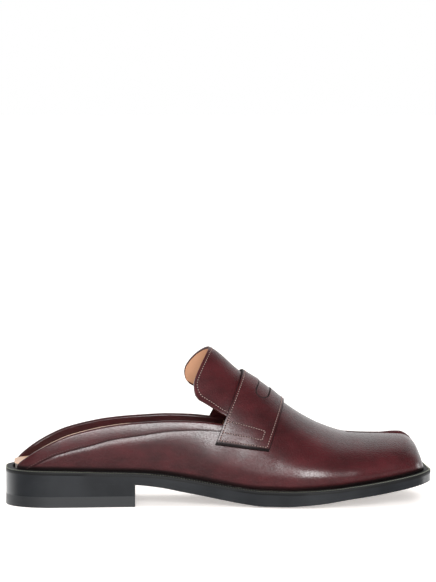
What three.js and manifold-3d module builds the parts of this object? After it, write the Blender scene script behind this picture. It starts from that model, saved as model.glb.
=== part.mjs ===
// A backless leather mule for the right foot: a penny loafer's vamp, saddle strap and tongue on
// open quarters that run down to the heel seat, with a split square toe, a stitched welt,
// a leather outsole and a low stacked heel. Millimetres, +X to the toe, +Y to the inner
// (medial) side, +Z up, with the origin on the floor under the middle of the sole.
import * as THREE from 'three';
import { mergeVertices } from 'three/addons/utils/BufferGeometryUtils.js';
import Module from 'manifold-3d';

const wasm = await Module();
wasm.setup();

// Driving dimensions
const SHOE_LENGTH = 302;
const BALL_WIDTH = 106;
const HEEL_HEIGHT = 26.2; // floor to the top of the welt, at the back
const HEEL_LENGTH = 90.8;
const HEEL_TAPER = 0.5; // how far the heel stands inside the sole's edge
const LIFT_THICKNESS = 7.6;
const TOE_SPRING = 16.3; // floor to the underside of the toe
const BALL_LIFT = 1.1; // the crowned sole's edge above the floor, at the ball
const SOLE_CROWN = 1.8; // how far the middle of the ball stands below its edge
const OUTSOLE_THICKNESS = 5;
const BALL_PAD_THICKNESS = 2.8; // extra sole under the ball
const WELT_THICKNESS = 2.7;
const WELT_REACH = 6.4; // how far the welt stands outside the upper
const TOE_REACH_LESS = 1.9; // how much less it stands out in front of the toe
const HEEL_REACH_LESS = 3.4; // and behind the heel
const FOOTBED_RISE = 4.2; // insole above the welt
const FOOTBED_PLAY = 1; // between the insole and the upper's wall
const UPPER_WALL = 2;
const INSTEP_HEIGHT = 112; // floor to the ridge at the tongue's end
const QUARTER_HEIGHT = 60.3; // floor to the top line
const COLLAR_WIDTH = 10;
const COLLAR_WALL = 1;
const STRAP_WALL = 1.8;
const CLEFT_GAP = 1.2; // half the width of the split between the toes
const CLEFT_ROLL = 3.4; // radius of its rolled edges
const SLOT_LENGTH = 43;
const SLOT_WIDTH = 10;
const TONGUE_CORNER = 0.22; // share of the tongue's half width that its corner takes
const TONGUE_BEND = 2.2; // power by which its end flares back towards the corners
const GAP = 0.3;

// The sole's outline as shares of the length and of the ball's width, before its ends are rounded,
// and the shares of the lesser welt reach at its back and front
const OUTLINE = [
  { at: 0.00, lateral: 0.325, medial: 0.320, back: 1.0, front: 0.0 },
  { at: 0.15, lateral: 0.325, medial: 0.318, back: 0.3, front: 0.0 },
  { at: 0.30, lateral: 0.318, medial: 0.292, back: 0.0, front: 0.0 },
  { at: 0.42, lateral: 0.332, medial: 0.268, back: 0.0, front: 0.0 },
  { at: 0.52, lateral: 0.385, medial: 0.300, back: 0.0, front: 0.0 },
  { at: 0.62, lateral: 0.455, medial: 0.395, back: 0.0, front: 0.0 },
  { at: 0.72, lateral: 0.500, medial: 0.480, back: 0.0, front: 0.0 },
  { at: 0.82, lateral: 0.478, medial: 0.500, back: 0.0, front: 0.0 },
  { at: 0.92, lateral: 0.408, medial: 0.472, back: 0.0, front: 0.3 },
  { at: 1.00, lateral: 0.345, medial: 0.435, back: 0.0, front: 1.0 },
];
// Rounded ends of the outline: how long each is, how square, and the share that stays flat
const HEEL_END = { length: 0.112, power: 2.1, flat: 0.16 };
const TOE_END = { length: 0.075, power: 2.3, flat: 0.5 };

// The sole's side profile: shares of the heel lift, the toe spring, the crown and the ball's pad
const PROFILE = [
  { at: 0.000, heel: 1.000, spring: 0.000, crown: 0.0, pad: 0.00 },
  { at: 0.093, heel: 0.990, spring: 0.000, crown: 0.0, pad: 0.00 },
  { at: 0.222, heel: 0.920, spring: 0.000, crown: 0.0, pad: 0.00 },
  { at: 0.300, heel: 0.862, spring: 0.000, crown: 0.0, pad: 0.10 },
  { at: 0.364, heel: 0.728, spring: 0.000, crown: 0.0, pad: 0.38 },
  { at: 0.410, heel: 0.560, spring: 0.000, crown: 0.1, pad: 0.66 },
  { at: 0.457, heel: 0.400, spring: 0.000, crown: 0.2, pad: 0.76 },
  { at: 0.503, heel: 0.242, spring: 0.000, crown: 0.4, pad: 0.86 },
  { at: 0.553, heel: 0.088, spring: 0.000, crown: 0.8, pad: 0.97 },
  { at: 0.600, heel: 0.000, spring: 0.000, crown: 1.0, pad: 1.08 },
  { at: 0.646, heel: 0.000, spring: 0.000, crown: 1.0, pad: 1.00 },
  { at: 0.692, heel: 0.000, spring: 0.060, crown: 1.0, pad: 0.80 },
  { at: 0.742, heel: 0.000, spring: 0.162, crown: 1.0, pad: 0.55 },
  { at: 0.788, heel: 0.000, spring: 0.303, crown: 0.9, pad: 0.25 },
  { at: 0.881, heel: 0.000, spring: 0.546, crown: 0.6, pad: 0.18 },
  { at: 0.954, heel: 0.000, spring: 0.796, crown: 0.4, pad: 0.10 },
  { at: 1.000, heel: 0.000, spring: 1.000, crown: 0.3, pad: 0.00 },
];

// The last's ribs, from the heel to the toe. Each rib leaves the welt at `at`, a share of the
// upper's length, and meets the ridge at `ridge`, a share of the same length, at `height`, a share
// of INSTEP_HEIGHT. `side` is the ridge's place across, `round` how square the arch is, and
// `bulge` how far the wall swells past the welt's line, both widths as shares of BALL_WIDTH.
const RIBS = [
  { at: 0.000, ridge: 0.030, height: 1.120, side: 0.000, round: 1.65, bulge: 0.016 },
  { at: 0.120, ridge: 0.192, height: 1.120, side: 0.005, round: 1.65, bulge: 0.020 },
  { at: 0.250, ridge: 0.355, height: 1.070, side: 0.015, round: 1.75, bulge: 0.020 },
  { at: 0.355, ridge: 0.478, height: 0.985, side: 0.025, round: 2.05, bulge: 0.022 },
  { at: 0.455, ridge: 0.556, height: 0.826, side: 0.035, round: 2.1, bulge: 0.024 },
  { at: 0.525, ridge: 0.610, height: 0.737, side: 0.042, round: 2.1, bulge: 0.028 },
  { at: 0.592, ridge: 0.662, height: 0.628, side: 0.050, round: 2.1, bulge: 0.034 },
  { at: 0.668, ridge: 0.716, height: 0.534, side: 0.058, round: 2.1, bulge: 0.038 },
  { at: 0.737, ridge: 0.768, height: 0.468, side: 0.066, round: 2.15, bulge: 0.036 },
  { at: 0.806, ridge: 0.823, height: 0.426, side: 0.074, round: 2.2, bulge: 0.032 },
  { at: 0.868, ridge: 0.876, height: 0.417, side: 0.082, round: 2.25, bulge: 0.030 },
  { at: 0.920, ridge: 0.926, height: 0.414, side: 0.088, round: 2.3, bulge: 0.028 },
  { at: 0.951, ridge: 0.956, height: 0.410, side: 0.092, round: 2.35, bulge: 0.024 },
  { at: 0.975, ridge: 0.980, height: 0.376, side: 0.095, round: 2.4, bulge: 0.018 },
  { at: 0.989, ridge: 0.992, height: 0.318, side: 0.097, round: 2.4, bulge: 0.012 },
  { at: 0.997, ridge: 0.998, height: 0.252, side: 0.098, round: 2.4, bulge: 0.004 },
  { at: 1.000, ridge: 1.000, height: 0.205, side: 0.098, round: 2.4, bulge: 0.000 },
];

// The quarter's top line, by shares of the length: heights above the floor as shares of
// QUARTER_HEIGHT, and the collar's depth below it as a share of COLLAR_WIDTH
const TOP_LINE = [
  { at: 0.0000, height: 0.440, collar: 1.20 },
  { at: 0.0185, height: 0.445, collar: 1.20 },
  { at: 0.0340, height: 0.525, collar: 1.10 },
  { at: 0.0650, height: 0.640, collar: 1.00 },
  { at: 0.1040, height: 0.750, collar: 1.02 },
  { at: 0.1420, height: 0.832, collar: 1.14 },
  { at: 0.1900, height: 0.898, collar: 1.18 },
  { at: 0.2450, height: 0.950, collar: 1.06 },
  { at: 0.3100, height: 0.982, collar: 0.98 },
  { at: 0.3860, height: 1.000, collar: 0.78 },
  { at: 0.4370, height: 0.994, collar: 0.69 },
  { at: 0.5000, height: 0.961, collar: 0.59 },
  { at: 0.6000, height: 0.860, collar: 0.40 },
];
const QUARTER_START = 0.017;
const THROAT = 0.487; // the rib where the vamp begins, under the strap

// The tongue's side edges: heights as shares of INSTEP_HEIGHT
const TONGUE = [
  { at: 0.330, lateral: 0.720, medial: 0.760 },
  { at: 0.400, lateral: 0.634, medial: 0.668 },
  { at: 0.440, lateral: 0.580, medial: 0.603 },
  { at: 0.490, lateral: 0.524, medial: 0.550 },
];
const TONGUE_END = 0.358;
// How far the corners of its end lie behind the middle
const TONGUE_FLARE = { lateral: 0.010, medial: 0.032 };
const TONGUE_ROUND = 0.028; // how long its corners are

// The strap's two long edges on the ridge, how far its ends lean back from them, and the heights
// of those ends as shares of INSTEP_HEIGHT
const STRAP = [
  { at: 0.455, lateral: 0.384, medial: 0.400 },
  { at: 0.592, lateral: 0.343, medial: 0.360 },
];
const STRAP_BACK = 0.461;
const STRAP_FRONT = 0.592;
const STRAP_LEAN = { lateral: 0.007, medial: 0.034 };
const SLOT_PLACE = 0.53; // the rib through the middle of the strap's slot

// The split between the toes: its depth and its opening, as shares
const CLEFT = [
  { at: 0.00, depth: 0.00, open: 1.0 },
  { at: 0.80, depth: 0.00, open: 1.0 },
  { at: 0.84, depth: 0.28, open: 1.0 },
  { at: 0.88, depth: 0.62, open: 1.0 },
  { at: 0.92, depth: 0.90, open: 1.2 },
  { at: 0.96, depth: 1.00, open: 1.8 },
  { at: 1.00, depth: 1.00, open: 3.0 },
];

// Smooth curve through one column of a table
function along(table, column, at) {
  const last = table.length - 1;
  const place = THREE.MathUtils.clamp(at, table[0].at, table[last].at);
  let k = 0;
  while (k < last - 1 && place > table[k + 1].at) k += 1;
  const slope = (a) => (table[a + 1][column] - table[a][column]) / (table[a + 1].at - table[a].at);
  const tangent = (a) => {
    if (a === 0) return slope(0);
    if (a === last) return slope(last - 1);
    const before = slope(a - 1);
    const after = slope(a);
    return before * after <= 0 ? 0 : (2 * before * after) / (before + after);
  };
  const span = table[k + 1].at - table[k].at;
  const t = (place - table[k].at) / span;
  const t2 = t * t;
  const t3 = t2 * t;
  return (2 * t3 - 3 * t2 + 1) * table[k][column] + (t3 - 2 * t2 + t) * span * tangent(k)
    + (3 * t2 - 2 * t3) * table[k + 1][column] + (t3 - t2) * span * tangent(k + 1);
}

// How much of its width the outline keeps at a share of the length, where its ends are rounded
function closure(at) {
  const round = (end, inset) => end.flat
    + (1 - end.flat) * Math.pow(Math.max(0, 1 - Math.pow(inset / end.length, end.power)), 1 / end.power);
  if (at < HEEL_END.length) return round(HEEL_END, HEEL_END.length - at);
  if (at > 1 - TOE_END.length) return round(TOE_END, at - 1 + TOE_END.length);
  return 1;
}

// How far the welt's lesser reach moves a point of the upper's foot back and forward
function reachLess(at) {
  return {
    back: along(OUTLINE, 'back', at) * HEEL_REACH_LESS,
    front: along(OUTLINE, 'front', at) * TOE_REACH_LESS,
  };
}

// A point of the outline, set in from the sole's edge; side is 'lateral' or 'medial'
function outline(at, side, inset) {
  const less = reachLess(at);
  const share = Math.min(1, inset / WELT_REACH);
  const x = inset + (SHOE_LENGTH - 2 * inset) * at + (less.front - less.back) * share;
  const step = 0.01;
  const rise = (along(OUTLINE, side, at + step) - along(OUTLINE, side, at - step)) * BALL_WIDTH;
  const across = (inset - (less.front + less.back) * share)
    * Math.hypot(1, rise / (2 * step * SHOE_LENGTH));
  const width = along(OUTLINE, side, at) * BALL_WIDTH - across;
  const y = width * closure(at) * (side === 'lateral' ? -1 : 1);
  return new THREE.Vector2(x, y);
}

// Height of the outsole's underside, before the floor stops it
function underside(x, y) {
  const at = x / SHOE_LENGTH;
  const side = y < 0 ? 'lateral' : 'medial';
  const across = Math.min(1, Math.abs(y) / (along(OUTLINE, side, at) * BALL_WIDTH));
  const heelLift = HEEL_HEIGHT - OUTSOLE_THICKNESS - WELT_THICKNESS - 2 * GAP - BALL_LIFT;
  return BALL_LIFT + along(PROFILE, 'heel', at) * heelLift
    + along(PROFILE, 'spring', at) * (TOE_SPRING - BALL_LIFT)
    - along(PROFILE, 'crown', at) * SOLE_CROWN * (1 - across * across);
}
const outsoleTop = (x, y) => underside(x, y) + OUTSOLE_THICKNESS
  + along(PROFILE, 'pad', x / SHOE_LENGTH) * BALL_PAD_THICKNESS;
const weltTop = (x, y) => outsoleTop(x, y) + GAP + WELT_THICKNESS;
const seat = (x, y) => weltTop(x, y) + GAP;

// Places along the outline, closer together where its ends turn
function stations(endSteps, middleSteps) {
  const heel = Array.from({ length: endSteps }, (_, i) => HEEL_END.length
    * (1 - Math.cos((i / endSteps) * Math.PI / 2)));
  const from = HEEL_END.length;
  const to = 1 - TOE_END.length;
  const middle = Array.from({ length: middleSteps }, (_, i) => from + ((to - from) * i) / middleSteps);
  const toe = Array.from({ length: endSteps + 1 }, (_, i) => to
    + TOE_END.length * Math.sin((i / endSteps) * Math.PI / 2));
  return [...heel, ...middle, ...toe];
}

// A closed solid between two grids of points that share their rows and columns. The front grid
// faces up or out when rows run to the toe and columns run from lateral to medial.
function between(front, back, keep = () => true, loop = false) {
  const rows = front.length;
  const columns = front[0].length;
  const position = [...front.flat(), ...back.flat()].flatMap((p) => p.toArray());
  const faces = [];
  const edges = new Map();
  const id = (i, j) => (i % rows) * columns + j;
  const depth = rows * columns;
  for (let i = 0; i < (loop ? rows : rows - 1); i += 1) {
    for (let j = 0; j < columns - 1; j += 1) {
      if (!keep(i, j)) continue;
      const corners = [id(i, j), id(i + 1, j), id(i + 1, j + 1), id(i, j + 1)];
      const [a, b, c, d] = corners;
      faces.push(a, b, c, a, c, d);
      faces.push(a + depth, c + depth, b + depth, a + depth, d + depth, c + depth);
      corners.forEach((from, k) => {
        const to = corners[(k + 1) % 4];
        if (!edges.delete(`${to}:${from}`)) edges.set(`${from}:${to}`, [from, to]);
      });
    }
  }
  for (const [from, to] of edges.values()) {
    faces.push(to, from, from + depth, to, from + depth, to + depth);
  }
  const geometry = new THREE.BufferGeometry();
  geometry.setAttribute('position', new THREE.Float32BufferAttribute(position, 3));
  geometry.setIndex(faces);
  return tidy(geometry);
}

// Merged corners and no unused or collapsed faces
function tidy(geometry) {
  const loose = geometry.index ? geometry.toNonIndexed() : geometry.clone();
  loose.deleteAttribute('normal');
  loose.deleteAttribute('uv');
  const merged = mergeVertices(loose, 1e-4);
  const index = Array.from(merged.index.array);
  const kept = [];
  for (let k = 0; k < index.length; k += 3) {
    const [a, b, c] = index.slice(k, k + 3);
    if (a !== b && b !== c && c !== a) kept.push(a, b, c);
  }
  merged.setIndex(kept);
  return merged;
}

function toManifold(geometry) {
  return new wasm.Manifold(new wasm.Mesh({
    numProp: 3,
    vertProperties: Float32Array.from(geometry.attributes.position.array),
    triVerts: Uint32Array.from(geometry.index.array),
  }));
}

function fromManifold(body) {
  const { vertProperties, triVerts } = body.getMesh();
  const geometry = new THREE.BufferGeometry();
  geometry.setAttribute('position', new THREE.Float32BufferAttribute(vertProperties, 3));
  geometry.setIndex(Array.from(triVerts));
  return geometry;
}

// A layer of the sole between two height functions, inside the outline
function layer(places, acrossSteps, inset, topHeight, bottomHeight) {
  const grid = (height) => places.map((at) => {
    const lateral = outline(at, 'lateral', inset);
    const medial = outline(at, 'medial', inset);
    return Array.from({ length: acrossSteps + 1 }, (_, j) => {
      const p = lateral.clone().lerp(medial, j / acrossSteps);
      return new THREE.Vector3(p.x, p.y, height(p.x, p.y));
    });
  });
  return between(grid(topHeight), grid(bottomHeight));
}

// The part of the outline that the heel covers, ending at its breast
function heelPlaces() {
  const breast = (HEEL_LENGTH - HEEL_TAPER) / (SHOE_LENGTH - 2 * HEEL_TAPER);
  return [...stations(8, 10).filter((at) => at < breast - 0.01), breast];
}

function makeTopLift() {
  return layer(heelPlaces(), 1, HEEL_TAPER, () => LIFT_THICKNESS, () => 0);
}

function makeHeelBlock() {
  const top = (x, y) => underside(x, y) - GAP;
  return layer(heelPlaces(), 1, HEEL_TAPER, top, () => LIFT_THICKNESS + GAP);
}

function makeOutsole() {
  return layer(stations(8, 24), 10, 0, outsoleTop, (x, y) => Math.max(0, underside(x, y)));
}

// The welt is a strip all round, from the sole's edge to the insole
function makeWelt() {
  const inner = WELT_REACH + UPPER_WALL;
  const lateral = stations(8, 22).map((at) => ({ at, side: 'lateral' }));
  const medial = lateral.map(({ at }) => ({ at, side: 'medial' })).reverse();
  const round = [...lateral, ...medial];
  const grid = (height) => round.map(({ at, side }) => [0, WELT_REACH, inner].map((inset) => {
    const p = outline(at, side, inset);
    return new THREE.Vector3(p.x, p.y, height(p.x, p.y));
  }));
  return between(grid(weltTop), grid((x, y) => outsoleTop(x, y) + GAP), () => true, true);
}

// The insole fills the welt and rises above it; its front is notched for the split toe
function makeInsole() {
  const inset = WELT_REACH + UPPER_WALL + FOOTBED_PLAY;
  const board = layer(stations(7, 18), 6, inset, (x, y) => weltTop(x, y) + FOOTBED_RISE,
    (x, y) => outsoleTop(x, y) + GAP);
  return fromManifold(toManifold(board).subtract(toManifold(cleftNotch())));
}

// A point of the last: at is the rib, turn runs from 0 at the lateral welt to 1 at the medial
function skin(at, turn) {
  const side = turn < 0.5 ? 'lateral' : 'medial';
  const round = along(RIBS, 'round', at);
  const angle = turn * Math.PI;
  return ribPoint(at, side, Math.pow(Math.abs(Math.cos(angle)), 2 / round));
}

// The same by out, the share of the rib's half width: 1 at the welt and 0 at the ridge
function ribPoint(at, side, out) {
  const foot = outline(at, side, WELT_REACH);
  const base = seat(foot.x, foot.y);
  const ridge = ridgePoint(at);
  const round = along(RIBS, 'round', at);
  const rise = Math.pow(Math.max(0, 1 - Math.pow(out, round)), 1 / round);
  const swell = (1 - Math.pow(1 - rise, 6)) * (1 - rise * rise) * along(RIBS, 'bulge', at) * BALL_WIDTH;
  const y = ridge.y + (foot.y - ridge.y) * out + (side === 'lateral' ? -swell : swell) * out;
  return new THREE.Vector3(
    foot.x + (ridge.x - foot.x) * rise,
    y,
    base + (ridge.z - base) * rise,
  );
}

function ridgePoint(at) {
  const ridge = along(RIBS, 'ridge', at);
  const less = reachLess(ridge);
  const x = WELT_REACH + (SHOE_LENGTH - 2 * WELT_REACH) * ridge + less.front - less.back;
  const y = along(RIBS, 'side', at) * BALL_WIDTH;
  return new THREE.Vector3(x, y, Math.max(along(RIBS, 'height', at) * INSTEP_HEIGHT, seat(x, y)));
}

// The turn, up to a half, at which a rib passes a height
function turnAt(at, side, height) {
  const foot = outline(at, side, WELT_REACH);
  const base = seat(foot.x, foot.y);
  const rise = THREE.MathUtils.clamp((height - base) / (ridgePoint(at).z - base), 0, 1);
  const round = along(RIBS, 'round', at);
  const turn = Math.asin(Math.pow(rise, round / 2)) / Math.PI;
  return side === 'lateral' ? turn : 1 - turn;
}

// A point that stands off the last's skin by a distance
function offSkin(at, turn, distance) {
  const step = 0.002;
  const low = Math.max(0, turn - step);
  const high = Math.min(1, turn + step);
  const forward = skin(Math.min(1, at + step), turn).sub(skin(at - step, turn));
  const over = skin(at, high).sub(skin(at, low));
  const normal = forward.cross(over).normalize();
  return skin(at, turn).addScaledVector(normal, distance);
}

// The turn at which a rib meets the top line, or a line below it by shares of the collar's depth
function topLineTurn(at, side, collars = 0) {
  let turn = side === 'lateral' ? 0 : 1;
  for (let pass = 0; pass < 5; pass += 1) {
    const place = skin(at, turn).x / SHOE_LENGTH;
    const drop = collars * along(TOP_LINE, 'collar', place) * COLLAR_WIDTH;
    turn = turnAt(at, side, along(TOP_LINE, 'height', place) * QUARTER_HEIGHT - drop);
  }
  return turn;
}

// Rows of the upper along the shoe: quarters, vamp and toe, the quarters' closer at the heel
const QUARTER_ROWS = 19;
const VAMP_ROWS = 15;
const TOE_ROWS = 11;
const TOE_START = 0.9;
const ROW_CROWDING = 1.35;
// Columns of one half of the upper: wall up to the top line, then the vamp up to the split
const WALL_COLUMNS = 6;
const VAMP_COLUMNS = 6;
// The split's own columns: place beyond its half gap in rolls, and depth in rolls, or its floor
const CLEFT_COLUMNS = [
  { out: 1.00, drop: 0.00 },
  { out: 0.40, drop: 0.20 },
  { out: 0.08, drop: 0.61 },
  { out: 0.00, drop: 1.60 },
  { out: -0.1, drop: Infinity },
];
const HALF_COLUMNS = WALL_COLUMNS + VAMP_COLUMNS + CLEFT_COLUMNS.length;

function cleftGap(at) {
  return CLEFT_GAP * along(CLEFT, 'open', at);
}

function upperPoint(at, column) {
  const side = column <= HALF_COLUMNS ? 'lateral' : 'medial';
  const sign = side === 'lateral' ? -1 : 1;
  const step = Math.min(column, 2 * HALF_COLUMNS - column);
  const foot = outline(at, side, WELT_REACH);
  const ridge = ridgePoint(at);
  const half = Math.abs(foot.y - ridge.y);
  const gap = cleftGap(at);
  const rim = Math.min(0.7, (gap + CLEFT_ROLL) / half);
  const round = along(RIBS, 'round', at);
  const rimTurn = Math.acos(Math.pow(rim, round / 2)) / Math.PI;
  const top = topLineTurn(at, side);
  const topTurn = Math.min(side === 'lateral' ? top : 1 - top, rimTurn * 0.62);
  const firstCleft = WALL_COLUMNS + VAMP_COLUMNS;
  if (step <= firstCleft) {
    const share = step <= WALL_COLUMNS ? (topTurn * step) / WALL_COLUMNS
      : topTurn + ((rimTurn - topTurn) * (step - WALL_COLUMNS)) / VAMP_COLUMNS;
    return skin(at, side === 'lateral' ? share : 1 - share);
  }
  const base = seat(ridge.x, ridge.y);
  const floor = Math.min(ridge.z, base + UPPER_WALL + GAP);
  const depth = (ridge.z - floor) * along(CLEFT, 'depth', at);
  if (step === HALF_COLUMNS) return new THREE.Vector3(ridge.x, ridge.y, ridge.z - depth);
  const { out, drop } = CLEFT_COLUMNS[step - firstCleft];
  const away = Math.min(rim * half, gap * (1 + Math.min(0, out)) + Math.max(0, out) * CLEFT_ROLL);
  const point = ribPoint(at, side, away / half);
  point.y = ridge.y + sign * away;
  point.z = Math.max(Math.min(point.z, ridge.z - depth), point.z - drop * CLEFT_ROLL);
  return point;
}

// Ribs that the upper's grid uses
function upperPlaces() {
  const quarter = Array.from({ length: QUARTER_ROWS }, (_, i) => QUARTER_START
    + (THROAT - QUARTER_START) * Math.pow(i / QUARTER_ROWS, ROW_CROWDING));
  const vamp = Array.from({ length: VAMP_ROWS }, (_, i) => THROAT
    + ((TOE_START - THROAT) * i) / VAMP_ROWS);
  const toe = Array.from({ length: TOE_ROWS + 1 }, (_, i) => TOE_START
    + (1 - TOE_START) * Math.sin((i / TOE_ROWS) * Math.PI / 2));
  return { quarter, all: [...quarter, ...vamp, ...toe] };
}

// Unit normals of a grid of points, from each point's neighbours
function gridNormals(grid) {
  const at = (i, j) => grid[THREE.MathUtils.clamp(i, 0, grid.length - 1)][
    THREE.MathUtils.clamp(j, 0, grid[0].length - 1)];
  return grid.map((row, i) => row.map((_, j) => {
    const forward = at(i + 1, j).clone().sub(at(i - 1, j));
    const over = at(i, j + 1).clone().sub(at(i, j - 1));
    return forward.cross(over).normalize();
  }));
}

function makeUpper() {
  const { quarter, all } = upperPlaces();
  const width = 2 * HALF_COLUMNS;
  const columns = Array.from({ length: width + 1 }, (_, j) => j);
  const outer = all.map((at) => columns.map((column) => upperPoint(at, column)));
  const normals = gridNormals(outer);
  const inner = outer.map((row, i) => row.map((point, j) => {
    const inside = point.clone().addScaledVector(normals[i][j], -UPPER_WALL);
    const atWelt = j === 0 || j === width || i === all.length - 1;
    inside.z = Math.max(inside.z, atWelt ? point.z : seat(inside.x, inside.y));
    return inside;
  }));
  const keep = (i, j) => i >= quarter.length || j < WALL_COLUMNS || j >= width - WALL_COLUMNS;
  return between(outer, inner, keep);
}

// The room that the split's folded wall takes out of the insole
function cleftNotch() {
  const places = [0.89, 0.93, 0.97, 1];
  const edge = (sign) => places.map((at) => {
    const ridge = ridgePoint(at);
    const reach = cleftGap(at) + UPPER_WALL + 2 * GAP;
    return new THREE.Vector2(ridge.x + (at === 1 ? 5 : 0), ridge.y + sign * reach);
  });
  const shape = new THREE.Shape([...edge(-1), ...edge(1).reverse()]);
  const prism = new THREE.ExtrudeGeometry(shape, { depth: INSTEP_HEIGHT, bevelEnabled: false });
  return tidy(prism);
}

// The tongue carries the vamp's surface on up the instep, and ends in two round corners
function makeTongue() {
  const rows = 12;
  const columns = 16;
  const start = THROAT - 0.002;
  const place = (i, j) => {
    const across = Math.abs((2 * j) / columns - 1);
    const side = 2 * j < columns ? 'lateral' : 'medial';
    const corner = Math.max(0, (across - 1 + TONGUE_CORNER) / TONGUE_CORNER);
    const flare = TONGUE_FLARE[side]
      * Math.pow(Math.min(1, across / (1 - TONGUE_CORNER)), TONGUE_BEND);
    const end = TONGUE_END - flare + TONGUE_ROUND * (1 - Math.sqrt(1 - corner * corner));
    return end + ((start - end) * i) / rows;
  };
  const grid = (distance) => Array.from({ length: rows + 1 }, (_, i) => Array.from(
    { length: columns + 1 },
    (__, j) => {
      const at = place(i, j);
      const low = turnAt(at, 'lateral', along(TONGUE, 'lateral', at) * INSTEP_HEIGHT);
      const high = turnAt(at, 'medial', along(TONGUE, 'medial', at) * INSTEP_HEIGHT);
      return offSkin(at, low + ((high - low) * j) / columns, distance);
    },
  ));
  return between(grid(0), grid(-UPPER_WALL));
}

// The saddle strap crosses vamp and tongue, with a slot over the ridge
function makeStrap() {
  const rows = 8;
  const columns = 28;
  const grid = (distance) => Array.from({ length: rows + 1 }, (_, i) => Array.from(
    { length: columns + 1 },
    (__, j) => {
      const across = (2 * j) / columns - 1;
      const side = across < 0 ? 'lateral' : 'medial';
      const lean = STRAP_LEAN[side] * Math.abs(across);
      const at = STRAP_BACK + ((STRAP_FRONT - STRAP_BACK) * i) / rows - lean;
      const end = turnAt(at, side, along(STRAP, side, at) * INSTEP_HEIGHT);
      return offSkin(at, 0.5 + (end - 0.5) * Math.abs(across), distance);
    },
  ));
  const band = between(grid(GAP + STRAP_WALL), grid(GAP));
  return fromManifold(toManifold(band).subtract(toManifold(slotCutter())));
}

function slotCutter() {
  const radius = SLOT_WIDTH / 2;
  const reach = SLOT_LENGTH / 2 - radius;
  const shape = new THREE.Shape();
  shape.absarc(reach, 0, radius, -Math.PI / 2, Math.PI / 2);
  shape.absarc(-reach, 0, radius, Math.PI / 2, (3 * Math.PI) / 2);
  const depth = 30;
  const cutter = new THREE.ExtrudeGeometry(shape, { depth, curveSegments: 6, bevelEnabled: false });
  const middle = ridgePoint(SLOT_PLACE);
  const ahead = ridgePoint(SLOT_PLACE + 0.01).sub(middle).normalize();
  const across = new THREE.Vector3(0, 1, 0);
  const up = ahead.clone().cross(across).normalize();
  const place = new THREE.Matrix4().makeBasis(across, up.clone().cross(across), up);
  place.setPosition(middle.addScaledVector(up, -depth / 2));
  cutter.applyMatrix4(place);
  return tidy(cutter);
}

// The collar is a folded strip sewn along a quarter's top line
function makeCollar(side) {
  const rows = 22;
  const columns = 2;
  const from = QUARTER_START + 0.006;
  const to = STRAP_BACK - STRAP_LEAN[side] - 0.012;
  const grid = (distance) => Array.from({ length: rows + 1 }, (_, i) => {
    const at = from + (to - from) * Math.pow(i / rows, ROW_CROWDING);
    const turns = [1, 0].map((collars) => topLineTurn(at, side, collars));
    if (side === 'medial') turns.reverse();
    return Array.from({ length: columns + 1 }, (__, j) => offSkin(at, turns[0]
      + ((turns[1] - turns[0]) * j) / columns, distance));
  });
  return between(grid(GAP + COLLAR_WALL), grid(GAP));
}

// Each piece: its geometry, colour and finish
const OXBLOOD = { color: 0x4a1f22, roughness: 0.35, metalness: 0 };
const SOLE_BLACK = { color: 0x1b1b1d, roughness: 0.45, metalness: 0 };
const PIECES = [
  { name: 'top_lift', make: makeTopLift, finish: { color: 0x161617, roughness: 0.7, metalness: 0 } },
  { name: 'heel_block', make: makeHeelBlock, finish: SOLE_BLACK },
  { name: 'outsole', make: makeOutsole, finish: SOLE_BLACK },
  { name: 'welt', make: makeWelt, finish: SOLE_BLACK },
  { name: 'insole', make: makeInsole, finish: { color: 0xb8845c, roughness: 0.6, metalness: 0 } },
  { name: 'upper', make: makeUpper, finish: OXBLOOD },
  { name: 'tongue', make: makeTongue, finish: OXBLOOD },
  { name: 'saddle_strap', make: makeStrap, finish: OXBLOOD },
  { name: 'collar_lateral', make: () => makeCollar('lateral'), finish: OXBLOOD },
  { name: 'collar_medial', make: () => makeCollar('medial'), finish: OXBLOOD },
];

// The frame's origin lies under the middle of the sole's box
function solePlace() {
  const places = stations(8, 24);
  const reach = (side) => Math.max(...places.map((at) => Math.abs(outline(at, side, 0).y)));
  return new THREE.Vector3(-SHOE_LENGTH / 2, (reach('lateral') - reach('medial')) / 2, 0);
}

const shoe = new THREE.Group();
for (const { name, make, finish } of PIECES) {
  const mesh = new THREE.Mesh(make(), new THREE.MeshStandardMaterial(finish));
  mesh.name = name;
  shoe.add(mesh);
}
shoe.position.copy(solePlace());

export default shoe;
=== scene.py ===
import bisect
import functools
import math

import bpy
from mathutils import Matrix, Vector


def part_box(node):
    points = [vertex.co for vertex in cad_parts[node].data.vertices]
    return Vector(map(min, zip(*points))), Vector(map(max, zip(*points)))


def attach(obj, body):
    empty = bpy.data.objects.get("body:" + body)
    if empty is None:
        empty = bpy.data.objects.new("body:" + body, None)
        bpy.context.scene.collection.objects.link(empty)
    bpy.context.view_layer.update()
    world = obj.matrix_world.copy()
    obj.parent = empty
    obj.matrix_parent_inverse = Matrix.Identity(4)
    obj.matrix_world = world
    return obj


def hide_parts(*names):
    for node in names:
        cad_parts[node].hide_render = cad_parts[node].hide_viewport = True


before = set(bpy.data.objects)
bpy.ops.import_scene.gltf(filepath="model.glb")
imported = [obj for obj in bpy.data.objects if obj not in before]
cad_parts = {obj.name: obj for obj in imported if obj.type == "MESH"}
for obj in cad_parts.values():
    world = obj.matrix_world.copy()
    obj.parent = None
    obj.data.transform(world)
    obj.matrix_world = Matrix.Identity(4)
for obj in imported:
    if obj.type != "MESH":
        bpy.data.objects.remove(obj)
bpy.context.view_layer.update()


# The camera stands two metres off the shoe's outer side, a little behind it and above it, with a
# long lens. Its frame holds more air above the shoe than below.
VIEW_DISTANCE = 2.0
VIEW_BEHIND = math.radians(4.0)
VIEW_ABOVE = math.radians(7.0)
SHOE_MIDDLE = Vector((0, 0, 0.040))
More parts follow.
